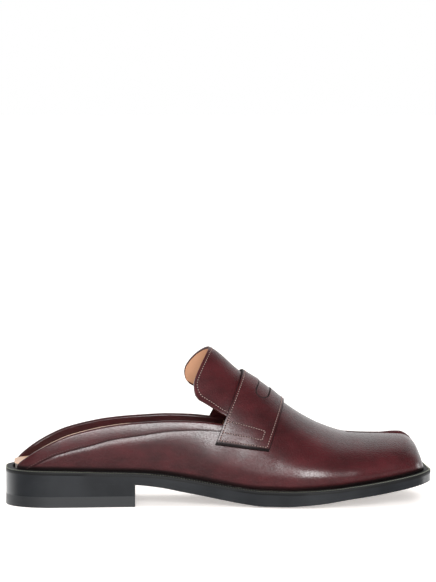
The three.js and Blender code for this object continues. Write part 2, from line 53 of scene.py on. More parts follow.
FRAME_MIDDLE = Vector((0.0005, 0, 0.1498))
LENS = 172.5

towards_camera = Vector((
    -math.cos(VIEW_ABOVE) * math.sin(VIEW_BEHIND),
    -math.cos(VIEW_ABOVE) * math.cos(VIEW_BEHIND),
    math.sin(VIEW_ABOVE),
))
camera_place = SHOE_MIDDLE + VIEW_DISTANCE * towards_camera
bpy.ops.object.camera_add(location=camera_place)
camera = bpy.context.object
camera.rotation_euler = (FRAME_MIDDLE - camera_place).to_track_quat("-Z", "Y").to_euler()
camera.data.lens = LENS
camera.data.clip_end = 60
bpy.context.scene.camera = camera


# The studio is a white table before a bright white wall, under a diffused ceiling light. A soft box
# stands above the camera, with a dimmer one to its left. White cards light the shoe from low in
# front and from both its ends.
class Value:
    """A socket, with arithmetic that adds Math nodes beside it."""

    def __init__(self, nodes, socket):
        self.nodes = nodes
        self.socket = socket

    def worked(self, operation, first, second):
        return self.nodes.node("ShaderNodeMath", {"operation": operation}, {0: first, 1: second})

    def __add__(self, other):
        return self.worked("ADD", self, other)

    def __sub__(self, other):
        return self.worked("SUBTRACT", self, other)

    def __rsub__(self, other):
        return self.worked("SUBTRACT", other, self)

    def __mul__(self, other):
        return self.worked("MULTIPLY", self, other)

    __radd__ = __add__
    __rmul__ = __mul__


class Nodes:
    """The nodes of a finish or of the surroundings, which end in one shader."""

    def __init__(self, owner, shader, **constants):
        owner.use_nodes = True
        self.owner = owner
        self.tree = owner.node_tree
        self.shader = self.tree.nodes[shader]
        self.fill(self.shader, {name.replace("_", " "): value for name, value in constants.items()})

    def fill(self, node, inputs):
        for name, value in inputs.items():
            if isinstance(value, Value):
                self.tree.links.new(value.socket, node.inputs[name])
            elif isinstance(value, tuple) and len(value) == 3 and node.inputs[name].type == "RGBA":
                node.inputs[name].default_value = (*value, 1)
            else:
                node.inputs[name].default_value = value

    def node(self, kind, settings=None, inputs=None, output=0):
        node = self.tree.nodes.new(kind)
        for name, value in (settings or {}).items():
            if name == "stops":
                ramp = node.color_ramp.elements
                while len(ramp) < len(value):
                    ramp.new(0.5)
                for stop, (place, level) in zip(ramp, value):
                    stop.position = place
                    stop.color = (level, level, level, 1)
            else:
                setattr(node, name, value)
        self.fill(node, inputs or {})
        return Value(self, node.outputs[output])

    def set(self, **inputs):
        self.fill(self.shader, {name.replace("_", " "): value for name, value in inputs.items()})

    def place(self, stretch=(1, 1, 1)):
        """Object coordinates, stretched."""
        where = self.node("ShaderNodeTexCoord", output="Object")
        return self.node("ShaderNodeMapping", inputs={"Vector": where, "Scale": stretch})

    def grain(self, where, scale, detail=2.0, roughness=0.5):
        """Noise with its mean near a half."""
        return self.node("ShaderNodeTexNoise", {"noise_dimensions": "3D"}, {
            "Vector": where, "Scale": scale, "Detail": detail, "Roughness": roughness})

    def ramp(self, value, *stops):
        return self.node("ShaderNodeValToRGB", {"stops": stops}, {"Fac": value})

    def blend(self, share, first, second):
        """One colour over another by a share."""
        return self.node("ShaderNodeMix", {"data_type": "RGBA"}, {0: share, 6: first, 7: second},
                         output=2)

    def bump(self, height, depth, strength=1.0):
        self.set(Normal=self.node("ShaderNodeBump", inputs={
            "Height": height, "Distance": depth, "Strength": strength}))


def finish(name, **constants):
    """A new finish with these constants on its shader."""
    return Nodes(bpy.data.materials.new(name), "Principled BSDF", **constants)


FLOOR_REACH = 60.0
bpy.ops.object.select_all(action="DESELECT")
bpy.ops.mesh.primitive_plane_add(size=2 * FLOOR_REACH, location=(0, 0, 0))
table = bpy.context.object
table.name = "table_top"
table.data.materials.append(
    finish("white table", Base_Color=(0.92, 0.89, 0.87), Roughness=0.8,
           Emission_Color=(1, 0.94, 0.90), Emission_Strength=0.42).owner)
table.visible_glossy = False


def lamp(kind, name, place, aim, power, **settings):
    """A light that faces a point."""
    bpy.ops.object.light_add(type=kind, location=place)
    light = bpy.context.object
    light.name = name
    light.rotation_euler = (Vector(aim) - Vector(place)).to_track_quat("-Z", "Y").to_euler()
    light.data.energy = power
    for setting, value in settings.items():
        setattr(light.data, setting, value)
    return light


def lamp_at(name, side, height, distance, power, **settings):
    """An area light seen from the shoe at angles to the camera's side and above the table."""
    side, height = math.radians(side), math.radians(height)
    direction = Vector((math.cos(height) * math.sin(side), -math.cos(height) * math.cos(side),
                        math.sin(height)))
    return lamp("AREA", name, SHOE_MIDDLE + distance * direction, SHOE_MIDDLE, power,
                shape="RECTANGLE", **settings)


diffused = [
    lamp("SUN", "diffused ceiling light", (0, 0, 2), (-0.1, 0.25, 0), 1.4, angle=math.radians(75)),
    lamp_at("low front card", 0, 3, 2.4, 42, size=1.6, size_y=0.4),
    lamp_at("toe card", 80, 12, 1.9, 5, size=0.7, size_y=0.7),
    lamp_at("heel card", -80, 10, 1.9, 5, size=0.5, size_y=0.6),
]
for light in diffused:
    light.visible_glossy = False
lamp_at("front soft box", 2, 21, 2.4, 60, size=1.1, size_y=0.9)
lamp_at("dim soft box", -28, 18, 2.4, 11, size=1.3, size_y=1.0)
lamp_at("toe strip", 100, 1, 1.9, 6, size=0.6, size_y=0.6)

# The wall behind reflects in all that faces up, below a dark ceiling. The front stays dark, and
# what faces down reflects the table, which is dim in front and bright before the wall.
FRONT_LIGHT = 0.03
TABLE_LIGHT = 0.50
FAR_TABLE_LIGHT = 1.0
WALL_LIGHT = 1.1
surroundings = bpy.data.worlds.new("white studio")
bpy.context.scene.world = surroundings
air = Nodes(surroundings, "Background", Color=(1, 1, 1))
heading = air.node("ShaderNodeTexCoord", output="Generated")
depth = air.node("ShaderNodeSeparateXYZ", inputs={"Vector": heading}, output=1)
height = air.node("ShaderNodeSeparateXYZ", inputs={"Vector": heading}, output=2)
behind = air.ramp(0.5 + 0.5 * depth, (0.46, 0), (0.72, 1))
wall = behind * air.ramp(height, (0.86, 1), (0.95, 0.08))
below = air.ramp(0.5 + 0.5 * height, (0.44, 1), (0.49, 0))
seen = air.node("ShaderNodeLightPath", output="Is Camera Ray")
lit = FRONT_LIGHT + (WALL_LIGHT - FRONT_LIGHT) * wall + below * (
    TABLE_LIGHT + FAR_TABLE_LIGHT * behind)
air.set(Strength=seen + (1 - seen) * lit)
bpy.context.scene.view_settings.view_transform = "Standard"


# The outsole is a black-edged leather sole with a square toe, a hollow waist, some toe spring and
# a flat spot under the ball. It is cut to its outline, and its edge is trimmed, inked and waxed.
sole_low, sole_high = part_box("outsole")
LENGTH = sole_high.x - sole_low.x
WIDTH = sole_high.y - sole_low.y
CENTRE_LINE = (sole_low.y + sole_high.y) / 2
HEEL_HEIGHT = 0.0262
TOE_SPRING = 0.0163
BALL_LIFT = 0.0011
SOLE_CROWN = 0.0018
OUTSOLE_THICKNESS = 0.005
BALL_PAD = 0.0028
WELT_THICKNESS = 0.0027
WELT_REACH = 0.0064
TOE_REACH_LESS = 0.0019
HEEL_REACH_LESS = 0.0034
GAP = 0.0003


class Table:
    """Columns of values at shares of the length, joined by curves that never overshoot."""

    def __init__(self, at, **columns):
        self.at = at
        self.columns = {name: (values, self.slopes(values)) for name, values in columns.items()}

    def slopes(self, values):
        steps = [(b - a) / (far - near)
                 for a, b, near, far in zip(values, values[1:], self.at, self.at[1:])]
        inner = [2 * a * b / (a + b) if a * b > 0 else 0 for a, b in zip(steps, steps[1:])]
        return [steps[0], *inner, steps[-1]]

    def __call__(self, column, at):
        values, slopes = self.columns[column]
        at = min(max(at, self.at[0]), self.at[-1])
        k = min(bisect.bisect_right(self.at, at), len(self.at) - 1) - 1
        span = self.at[k + 1] - self.at[k]
        t = (at - self.at[k]) / span
        ease = t * t * (3 - 2 * t)
        return (values[k] + (values[k + 1] - values[k]) * ease
                + span * t * (1 - t) * ((1 - t) * slopes[k] - t * slopes[k + 1]))


OUTLINE = Table(
    at=(0.00, 0.15, 0.30, 0.42, 0.52, 0.62, 0.72, 0.82, 0.92, 1.00),
    lateral=(0.325, 0.325, 0.318, 0.332, 0.385, 0.455, 0.500, 0.478, 0.408, 0.345),
    medial=(0.320, 0.318, 0.292, 0.268, 0.300, 0.395, 0.480, 0.500, 0.472, 0.435),
    back=(1, 0.3, 0, 0, 0, 0, 0, 0, 0, 0),
    front=(0, 0, 0, 0, 0, 0, 0, 0, 0.3, 1),
)
HEEL_END = {"length": 0.112, "power": 2.1, "flat": 0.16}
TOE_END = {"length": 0.075, "power": 2.3, "flat": 0.5}
PROFILE = Table(
    at=(0.000, 0.093, 0.222, 0.300, 0.364, 0.410, 0.457, 0.503, 0.553, 0.600, 0.646, 0.692,
           0.742, 0.788, 0.881, 0.954, 1.000),
    heel=(1.000, 0.990, 0.920, 0.862, 0.728, 0.560, 0.400, 0.242, 0.088, 0, 0, 0, 0, 0, 0, 0, 0),
    spring=(0, 0, 0, 0, 0, 0, 0, 0, 0, 0, 0, 0.060, 0.162, 0.303, 0.546, 0.796, 1.000),
    crown=(0, 0, 0, 0, 0, 0.1, 0.2, 0.4, 0.8, 1, 1, 1, 1, 0.9, 0.6, 0.4, 0.3),
    pad=(0, 0, 0, 0.10, 0.38, 0.66, 0.76, 0.86, 0.97, 1.08, 1.00, 0.80, 0.55, 0.25, 0.18, 0.10, 0),
)


def closure(at):
    """Share of its width that the outline keeps where its ends are rounded."""
    for end, inset in ((HEEL_END, HEEL_END["length"] - at), (TOE_END, at - 1 + TOE_END["length"])):
        if inset > 0:
            arc = max(0, 1 - (inset / end["length"]) ** end["power"]) ** (1 / end["power"])
            return end["flat"] + (1 - end["flat"]) * arc
    return 1


@functools.cache
def outline(at, side, inset):
    """A point of the outline, set in from the sole's edge, measured from the sole's back."""
    back = OUTLINE("back", at) * HEEL_REACH_LESS
    front = OUTLINE("front", at) * TOE_REACH_LESS
    share = min(1, inset / WELT_REACH)
    step = 0.01
    rise = (OUTLINE(side, at + step) - OUTLINE(side, at - step)) * WIDTH
    lean = math.hypot(1, rise / (2 * step * LENGTH))
    width = (OUTLINE(side, at) * WIDTH - (inset - (front + back) * share) * lean) * closure(at)
    x = inset + (LENGTH - 2 * inset) * at + (front - back) * share
    return x, -width if side == "lateral" else width


def underside(x, y):
    at = x / LENGTH
    side = "lateral" if y < 0 else "medial"
    across = min(1, abs(y) / (OUTLINE(side, at) * WIDTH))
    heel_lift = HEEL_HEIGHT - OUTSOLE_THICKNESS - WELT_THICKNESS - 2 * GAP - BALL_LIFT
    return (BALL_LIFT + PROFILE("heel", at) * heel_lift
            + PROFILE("spring", at) * (TOE_SPRING - BALL_LIFT)
            - PROFILE("crown", at) * SOLE_CROWN * (1 - across**2))


def outsole_top(x, y):
    return underside(x, y) + OUTSOLE_THICKNESS + PROFILE("pad", x / LENGTH) * BALL_PAD


def welt_top(x, y):
    return outsole_top(x, y) + GAP + WELT_THICKNESS


def seat(x, y):
    return welt_top(x, y) + GAP


def in_frame(x, y, z):
    """From the sole's back, where these sizes are measured, to the frame."""
    return Vector((x + sole_low.x, y + CENTRE_LINE, z))


END_CROWDING = 0.11
HEEL_CROWDING = 1.4


def crowded(share):
    """Spreads shares so that they are close together at both ends of the shoe."""
    return share - math.sin(2 * math.pi * share) * END_CROWDING


def shaped_grid(name, rows, columns, place):
    """A grid primitive whose points go to place(share along, share across)."""
    bpy.ops.object.select_all(action="DESELECT")
    bpy.ops.mesh.primitive_grid_add(x_subdivisions=rows, y_subdivisions=columns, size=2)
    piece = bpy.context.object
    piece.name = name
    for vertex in piece.data.vertices:
        vertex.co = place((vertex.co.x + 1) / 2, (vertex.co.y + 1) / 2)
    return piece


def modify(piece, kind, **settings):
    """Adds a modifier and applies it."""
    bpy.context.view_layer.objects.active = piece
    modifier = piece.modifiers.new(kind.lower(), kind)
    for name, value in settings.items():
        setattr(modifier, name, value)
    bpy.ops.object.modifier_apply(modifier=modifier.name)


def smooth(piece, degrees=40):
    bpy.ops.object.select_all(action="DESELECT")
    piece.select_set(True)
    bpy.context.view_layer.objects.active = piece
    bpy.ops.object.shade_smooth_by_angle(angle=math.radians(degrees))


def sole_layer(name, rows, columns, inset, top, bottom, breast=1.0, edge=0.0005):
    """A layer of the sole: a grid laid to the outline, extruded down, with its edges rounded."""
    def place(share, across):
        at = crowded(share) if breast == 1 else share**HEEL_CROWDING * breast
        lateral, medial = outline(at, "lateral", inset), outline(at, "medial", inset)
        x = lateral[0]
        y = lateral[1] + (medial[1] - lateral[1]) * across
        return in_frame(x, y, top(x, y))

    piece = shaped_grid(name, rows, columns, place)
    bpy.ops.object.mode_set(mode="EDIT")
    bpy.ops.mesh.select_all(action="SELECT")
    bpy.ops.mesh.extrude_region_move(TRANSFORM_OT_translate={"value": (0, 0, -0.001)})
    bpy.ops.object.mode_set(mode="OBJECT")
    for vertex in piece.data.vertices:
        if vertex.select:
            x = vertex.co.x - sole_low.x
            y = vertex.co.y - CENTRE_LINE
            vertex.co.z = bottom(x, y)
    bpy.ops.object.mode_set(mode="EDIT")
    bpy.ops.mesh.select_all(action="SELECT")
    bpy.ops.mesh.normals_make_consistent(inside=False)
    bpy.ops.object.mode_set(mode="OBJECT")
    modify(piece, "BEVEL", width=edge, segments=3, limit_method="ANGLE",
           angle_limit=math.radians(50))
    smooth(piece)
    modify(piece, "WEIGHTED_NORMAL", weight=90, keep_sharp=True)
    return piece


def edge_ink():
    """Black edge ink over leather, waxed: faint vertical trimming marks and some cloudiness."""
    ink = finish("inked leather edge", Coat_Weight=0.24, Coat_Roughness=0.16, Specular_IOR_Level=0.25)
    where = ink.place()
    cloud = ink.grain(where, 38, 4)
    fibre = ink.grain(ink.place((1, 1, 6)), 900, 3, 0.6)
    ink.set(
        Base_Color=ink.blend(ink.ramp(cloud, (0.35, 0), (0.7, 1)),
                             (0.0045, 0.0053, 0.0066), (0.0088, 0.0100, 0.0120)),
        Roughness=0.26 + 0.18 * cloud + 0.08 * fibre,
    )
    ink.bump(0.6 * fibre + 0.8 * cloud, 0.00012, 0.5)
    return ink.owner


EDGE_INK = edge_ink()
outsole = sole_layer("leather_outsole", 150, 34, 0, lambda x, y: outsole_top(x, y) + GAP,
                     lambda x, y: max(0, underside(x, y)), edge=0.00025)
outsole.data.materials.append(EDGE_INK)
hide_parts("outsole")
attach(outsole, "root")


# The heel is a block of stacked leather lifts, nailed on, trimmed flush with the outsole and inked
# black, so that its lifts hardly show. A black rubber top lift under it wears on the floor.
HEEL_LENGTH = 0.0908
HEEL_TAPER = 0.0001
TOP_LIFT_THICKNESS = 0.0076
breast = (HEEL_LENGTH - HEEL_TAPER) / (LENGTH - 2 * HEEL_TAPER)
heel = sole_layer("stacked_heel", 60, 20, HEEL_TAPER, underside,
                  lambda x, y: TOP_LIFT_THICKNESS, breast=breast, edge=0.00012)
heel.data.materials.append(EDGE_INK)
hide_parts("heel_block")
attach(heel, "root")


def heel_rubber():
    rubber = finish("black rubber", Base_Color=(0.0085, 0.0094, 0.0108))
    speck = rubber.grain(rubber.place(), 1500, 2)
    cloud = rubber.grain(rubber.place(), 60, 3)
    rubber.set(Roughness=0.42 + 0.2 * cloud)
    rubber.bump(speck, 0.00008, 0.4)
    return rubber.owner


top_lift = sole_layer("rubber_top_lift", 44, 16, HEEL_TAPER, lambda x, y: TOP_LIFT_THICKNESS,
                      lambda x, y: 0, breast=breast, edge=0.00022)
top_lift.data.materials.append(heel_rubber())
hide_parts("top_lift")
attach(top_lift, "root")


# The welt is a leather strip round the upper's foot, stitched down to the outsole. A hot fudge
# wheel has pressed its top edge into fine ridges, whose crests are painted pale grey, a painted
# highlight that shows them as a row of ticks.
UPPER_WALL = 0.002
MARK_COUNT = 390
MARK_STEPS = 6
MARK_DEPTH = 0.00055
MARK_CUTS = (0.0, 0.6, 1.0, 1.0, 1.0, 0.6)
MARK_INWARDS = 0.35
# The strip's section: inset from the edge, height from bottom 0 to top 1, and how deep marks cut,
# which also sets where the crests carry the painted highlight
WELT_SECTION = (
    (0.0000, 0.10, 0.0), (0.0000, 0.70, 0.1), (0.0001, 0.88, 0.6), (0.0005, 0.97, 1.0),
    (0.0012, 1.00, 1.0), (0.0020, 1.00, 0.7), (0.0026, 0.97, 0.0), (0.0045, 0.98, 0.0),
    (0.0064, 1.00, 0.0), (0.0084, 1.00, 0.0), (0.0084, 0.00, 0.0), (0.0004, 0.00, 0.0),
)


def round_the_sole(share, inset):
    """A point of the inset outline at a share of the way round, from the middle of the heel."""
    side = "lateral" if share < 0.5 else "medial"
    half = 2 * share if share < 0.5 else 2 - 2 * share
    flat_heel, flat_toe = 0.012, 0.05
    if half < flat_heel:
        x, y = outline(0, side, inset)
        return x, y * half / flat_heel
    if half > 1 - flat_toe:
        x, y = outline(1, side, inset)
        return x, y * (1 - half) / flat_toe
    t = (half - flat_heel) / (1 - flat_heel - flat_toe)
    ends = 0.16
    if t < ends:
        at = HEEL_END["length"] * (1 - math.cos(t / ends * math.pi / 2))
    elif t > 1 - ends:
        at = 1 - TOE_END["length"] * (1 - math.sin((t - 1 + ends) / ends * math.pi / 2))
    else:
        middle = 1 - HEEL_END["length"] - TOE_END["length"]
        at = HEEL_END["length"] + middle * (t - ends) / (1 - 2 * ends)
    return outline(at, side, inset)


def even_shares(inset, count):
    """Shares round the sole that are the same distance apart."""
    fine = 3000
    points = [round_the_sole(k / fine, inset) for k in range(fine + 1)]
    run = [0]
    for a, b in zip(points, points[1:]):
        run.append(run[-1] + math.dist(a, b))
    shares, k = [], 0
    for number in range(count):
        goal = run[-1] * number / count
        while run[k + 1] < goal:
            k += 1
        shares.append((k + (goal - run[k]) / (run[k + 1] - run[k])) / fine)
    return shares


def make_welt():
    steps = MARK_COUNT * MARK_STEPS
    shares = even_shares(0.0005, steps)
    levels = []

    def place(share, across):
        i, j = round(share * steps) % steps, round(across * len(WELT_SECTION)) % len(WELT_SECTION)
        inset, height, marked = WELT_SECTION[j]
        cut = MARK_CUTS[i % MARK_STEPS]
        depth = cut * marked * MARK_DEPTH
        x, y = round_the_sole(shares[i], inset + depth * MARK_INWARDS)
        # Painted highlight: pale on the marked crests between the wheel's cuts.
        levels.append(marked * (1 - cut))
        return in_frame(x, y, outsole_top(x, y) + (GAP + WELT_THICKNESS) * height - depth)

    piece = shaped_grid("stitched_welt", steps, len(WELT_SECTION), place)
    piece.data.attributes.new("crest", "FLOAT", "POINT").data.foreach_set("value", levels)
    bpy.ops.object.mode_set(mode="EDIT")
    bpy.ops.mesh.select_all(action="SELECT")
    bpy.ops.mesh.remove_doubles(threshold=1e-6)
    bpy.ops.mesh.normals_make_consistent(inside=False)
    bpy.ops.object.mode_set(mode="OBJECT")
    smooth(piece, 50)
    return piece


def welt_ink_and_highlight():
    """The welt's ink: dull black in the groove by the upper, with a painted highlight in pale grey on
    the ridges.
    """
    ink = finish("inked welt with painted highlights", Specular_IOR_Level=0.2)
    crest = ink.node("ShaderNodeAttribute", {"attribute_name": "crest"}, output="Fac")
    grain = ink.grain(ink.place(), 1400, 2)
    # The ridges' pale grey is a painted highlight.
    ink.set(
        Base_Color=ink.blend(ink.ramp(crest, (0.35, 0), (0.75, 1)),
                             (0.0050, 0.0052, 0.0055), (0.20, 0.21, 0.175)),
        Roughness=0.5 + 0.15 * grain,
    )
    ink.bump(grain, 0.0001, 0.5)
    return ink.owner


welt = make_welt()
welt.data.materials.append(welt_ink_and_highlight())
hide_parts("welt")
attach(welt, "root")


# The footbed is a board with a sock of natural tan leather glued over it. It stands above the welt,
# and its rounded edge shows at the open heel.
FOOTBED_RISE = 0.0042
FOOTBED_PLAY = 0.0010
SOCK_THICKNESS = 0.0014
footbed_inset = WELT_REACH + UPPER_WALL + FOOTBED_PLAY


def footbed_top(x, y):
    return welt_top(x, y) + FOOTBED_RISE


def tan_leather(name, light, dark, rough):
    """Vegetable-tanned leather: fine pores, soft clouds of colour and a low sheen."""
    leather = finish(name, Coat_Weight=0.08, Coat_Roughness=0.35)
    where = leather.place()
    cloud = leather.grain(where, 22, 4)
    pores = leather.grain(where, 1700, 3, 0.6)
    creases = leather.grain(leather.place((1, 1.6, 1)), 380, 3)
    leather.set(
        Base_Color=leather.blend(leather.ramp(cloud, (0.3, 0), (0.72, 1)), dark, light),
        Roughness=rough + 0.16 * pores,
    )
    leather.bump(0.7 * pores + 0.5 * creases, 0.00016, 0.5)
    return leather.owner


SOCK_LEATHER = tan_leather("tan sock leather", (0.60, 0.39, 0.27), (0.50, 0.31, 0.20), 0.42)
BOARD = finish("grey board", Base_Color=(0.20, 0.17, 0.15), Roughness=0.85).owner

board = sole_layer("footbed_board", 110, 26, footbed_inset + 0.0006,
                   lambda x, y: footbed_top(x, y) - SOCK_THICKNESS - 0.0001,
                   lambda x, y: outsole_top(x, y) + 2 * GAP, edge=0.0003)
board.data.materials.append(BOARD)
sock = sole_layer("footbed_sock", 130, 30, footbed_inset, footbed_top,
                  lambda x, y: footbed_top(x, y) - SOCK_THICKNESS, edge=0.0006)
sock.data.materials.append(SOCK_LEATHER)
for piece in (board, sock):
    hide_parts("insole")
    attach(piece, "root")


# The upper is one piece of polished oxblood calf, lasted over a square split toe and lined. Its
# quarters run back to points at the heel, and at the toe it is folded down between the toes.
INSTEP_HEIGHT = 0.112
QUARTER_HEIGHT = 0.0603
COLLAR_WIDTH = 0.010
FOLD_HEIGHT = 0.0015
CLEFT_GAP = 0.0012
CLEFT_ROLL = 0.0034
QUARTER_START = 0.017
THROAT = 0.487
RIBS = Table(
    at=(0.000, 0.120, 0.250, 0.355, 0.455, 0.525, 0.592, 0.668, 0.737, 0.806, 0.868, 0.920,
           0.951, 0.975, 0.989, 0.997, 1.000),
    ridge=(0.030, 0.192, 0.355, 0.478, 0.556, 0.610, 0.662, 0.716, 0.768, 0.823, 0.876, 0.926,
              0.956, 0.980, 0.992, 0.998, 1.000),
    height=(1.120, 1.120, 1.070, 0.985, 0.826, 0.737, 0.628, 0.534, 0.468, 0.426, 0.417, 0.414,
               0.410, 0.376, 0.318, 0.252, 0.205),
    side=(0.000, 0.005, 0.015, 0.025, 0.035, 0.042, 0.050, 0.058, 0.066, 0.074, 0.082, 0.088,
             0.092, 0.095, 0.097, 0.098, 0.098),
    round=(1.65, 1.65, 1.75, 2.05, 2.1, 2.1, 2.1, 2.1, 2.15, 2.2, 2.25, 2.3,
           2.35, 2.4, 2.4, 2.4, 2.4),
    bulge=(0.016, 0.020, 0.020, 0.022, 0.024, 0.028, 0.034, 0.038, 0.036, 0.032, 0.030, 0.028,
              0.024, 0.018, 0.012, 0.004, 0.000),
)
TOP_LINE = Table(
    at=(0, 0.0185, 0.034, 0.065, 0.104, 0.142, 0.190, 0.245, 0.310, 0.386, 0.437, 0.500, 0.600),
    height=(0.440, 0.445, 0.525, 0.640, 0.750, 0.832, 0.898, 0.950, 0.982, 1.0, 0.994, 0.961, 0.860),
    collar=(1.20, 1.20, 1.10, 1.00, 1.02, 1.14, 1.18, 1.06, 0.98, 0.78, 0.69, 0.59, 0.40),
)
CLEFT = Table(
    at=(0.00, 0.80, 0.84, 0.88, 0.92, 0.96, 1.00),
    depth=(0.00, 0.00, 0.28, 0.62, 0.90, 1.00, 1.00),
    open=(1.0, 1.0, 1.0, 1.0, 1.2, 1.8, 3.0),
)


@functools.cache
def ridge_point(at):
    ridge = RIBS("ridge", at)
    x = (WELT_REACH + (LENGTH - 2 * WELT_REACH) * ridge
         + OUTLINE("front", ridge) * TOE_REACH_LESS - OUTLINE("back", ridge) * HEEL_REACH_LESS)
    y = RIBS("side", at) * WIDTH
    return Vector((x, y, max(RIBS("height", at) * INSTEP_HEIGHT, seat(x, y))))


@functools.cache
def rib_shape(at, side):
    """A rib's foot on the welt, its height there, its ridge, and how square and full it is."""
    foot_x, foot_y = outline(at, side, WELT_REACH)
    return (foot_x, foot_y, seat(foot_x, foot_y), ridge_point(at), RIBS("round", at),
            RIBS("bulge", at) * WIDTH)


def rib_point(at, side, out):
    """The last at a rib, by the share of the rib's half width, 1 at the welt and 0 at the ridge."""
    foot_x, foot_y, base, ridge, arch, bulge = rib_shape(at, side)
    rise = max(0, 1 - out**arch) ** (1 / arch)
    swell = (1 - (1 - rise) ** 6) * (1 - rise * rise) * bulge
    y = ridge.y + (foot_y - ridge.y) * out + (-swell if side == "lateral" else swell) * out
    return Vector((foot_x + (ridge.x - foot_x) * rise, y, base + (ridge.z - base) * rise))


def skin(at, turn):
    """The last at a rib, by its turn from the lateral welt, 0, to the medial, 1."""
    side = "lateral" if turn < 0.5 else "medial"
    arch = rib_shape(at, side)[4]
    return rib_point(at, side, abs(math.cos(turn * math.pi)) ** (2 / arch))


def turn_at(at, side, height):
    """The turn at which a rib passes a height."""
    _, _, base, ridge, arch, _ = rib_shape(at, side)
    rise = min(max((height - base) / (ridge.z - base), 0), 1)
    turn = math.asin(rise ** (arch / 2)) / math.pi
    return turn if side == "lateral" else 1 - turn


@functools.cache
def top_line_turn(at, side, collars=0.0, below=0.0):
    """The turn at which a rib meets the top line, or a line some collars and a drop below it."""
    turn = 0 if side == "lateral" else 1
    for _ in range(5):
        place = skin(at, turn).x / LENGTH
        drop = collars * TOP_LINE("collar", place) * COLLAR_WIDTH + below
        turn = turn_at(at, side, TOP_LINE("height", place) * QUARTER_HEIGHT - drop)
    return turn


def skin_frame(at, turn):
    """A point of the last with its directions forwards, over the ridge, and out."""
    step = 0.002
    here = skin(at, turn)
    forward = skin(min(1, at + step), turn) - skin(at - step, turn)
    over = skin(at, min(1, turn + step)) - skin(at, max(0, turn - step))
    outward = forward.cross(over).normalized()
    return here, forward.normalized(), over.normalized(), outward


def off_skin(at, turn, distance):
    here, _, _, outward = skin_frame(at, turn)
    return here + outward * distance


WALL_SHARE = 0.34
VAMP_SHARE = 0.74
LOBE_MIDDLE = 0.955
LOBE_REACH = 0.05
LOBE_RISE = 0.0012
QUARTER_SWELL = Table(
    at=(0.00, 0.08, 0.16, 0.30, 0.40, 0.47),
    swell=(0.0, 0.0034, 0.0042, 0.0032, 0.0012, 0),
)


def lobe_rise(at, side):
    """How much higher the big toe's lobe stands than the other beside the split."""
    if side == "lateral":
        return 0
    return LOBE_RISE * max(0, 1 - ((at - LOBE_MIDDLE) / LOBE_REACH) ** 2)


def upper_point(at, across):
    """The upper's outside: wall to the top line, vamp to the split's edge, and the split."""
    side = "lateral" if across <= 0.5 else "medial"
    sign = -1 if side == "lateral" else 1
    step = 2 * min(across, 1 - across)
    foot = outline(at, side, WELT_REACH)
    ridge = ridge_point(at)
    half = abs(foot[1] - ridge.y)
    gap = CLEFT_GAP * CLEFT("open", at)
    rim = min(0.7, (gap + CLEFT_ROLL) / half)
    arch = RIBS("round", at)
    rim_turn = math.acos(rim ** (arch / 2)) / math.pi
    top = top_line_turn(at, side, 0, FOLD_HEIGHT)
    top_turn = min(top if side == "lateral" else 1 - top, rim_turn * 0.62)
    if step <= VAMP_SHARE:
        if step <= WALL_SHARE:
            turn = top_turn * step / WALL_SHARE
            seam = top_line_turn(at, side, 1.0)
            seam = seam if side == "lateral" else 1 - seam
            if at < QUARTER_SWELL.at[-1] and turn < seam:
                below = 1 - turn / seam
                swell = QUARTER_SWELL("swell", at) * below * (1 - below) ** 3
                return off_skin(at, turn if side == "lateral" else 1 - turn, swell)
        else:
            over = (step - WALL_SHARE) / (VAMP_SHARE - WALL_SHARE)
            turn = top_turn + (rim_turn - top_turn) * over
            point = skin(at, turn if side == "lateral" else 1 - turn)
            return point + Vector((0, 0, lobe_rise(at, side) * over * over))
        return skin(at, turn if side == "lateral" else 1 - turn)
    base = seat(ridge.x, ridge.y)
    depth = (ridge.z - min(ridge.z, base + UPPER_WALL + GAP)) * CLEFT("depth", at)
    t = (step - VAMP_SHARE) / (1 - VAMP_SHARE)
    if t <= 0.5:
        angle = t / 0.5 * math.pi / 2
        away = gap + CLEFT_ROLL * (1 - math.sin(angle))
        drop = CLEFT_ROLL * (1 - math.cos(angle))
    elif t <= 0.85:
        away = gap
        drop = CLEFT_ROLL + (t - 0.5) / 0.35 * max(0, depth - CLEFT_ROLL)
    else:
        away = gap * (1 - t) / 0.15
        drop = max(depth, CLEFT_ROLL)
    away = min(rim * half, away)
    point = rib_point(at, side, away / half)
    point.y = ridge.y + sign * away
    point.z += lobe_rise(at, side)
    point.z = max(min(point.z, ridge.z - depth), point.z - drop)
    return point


def upper_place(share):
    """The rib for a share of the upper's rows, closer together at the heel and the toe."""
    throat_share, toe_share, toe = 0.34, 0.72, 0.9
    if share < throat_share:
        return QUARTER_START + (THROAT - QUARTER_START) * (share / throat_share) ** 1.35
    if share < toe_share:
        return THROAT + (toe - THROAT) * (share - throat_share) / (toe_share - throat_share)
    return toe + (1 - toe) * math.sin((share - toe_share) / (1 - toe_share) * math.pi / 2)


# The calf's lowest millimetres above the welt are painted black: painted shade of the tuck into the
# welt, and a painted reflection of the black welt in the glossy calf.
FOOT_SHADE, FOOT_SHADE_FADE = 0.0016, 0.0018


def mark_ink_and_shade(piece, ink_and_shade_levels=()):
    """Stores how black each point is: painted shade and a painted reflection of the black welt at
    the foot, and the given levels of edge ink and painted shade along cut edges.
    """
    shade = piece.data.attributes.new("ink", "FLOAT", "POINT")
    levels = []
    for vertex in piece.data.vertices:
        x, y = vertex.co.x - sole_low.x, vertex.co.y - CENTRE_LINE
        rise = vertex.co.z - seat(x, y) - FOOT_SHADE
        levels.append(min(max(1 - rise / FOOT_SHADE_FADE, 0), 1))
    if ink_and_shade_levels:
        levels = [max(pair) for pair in zip(levels, ink_and_shade_levels)]
    shade.data.foreach_set("value", levels)


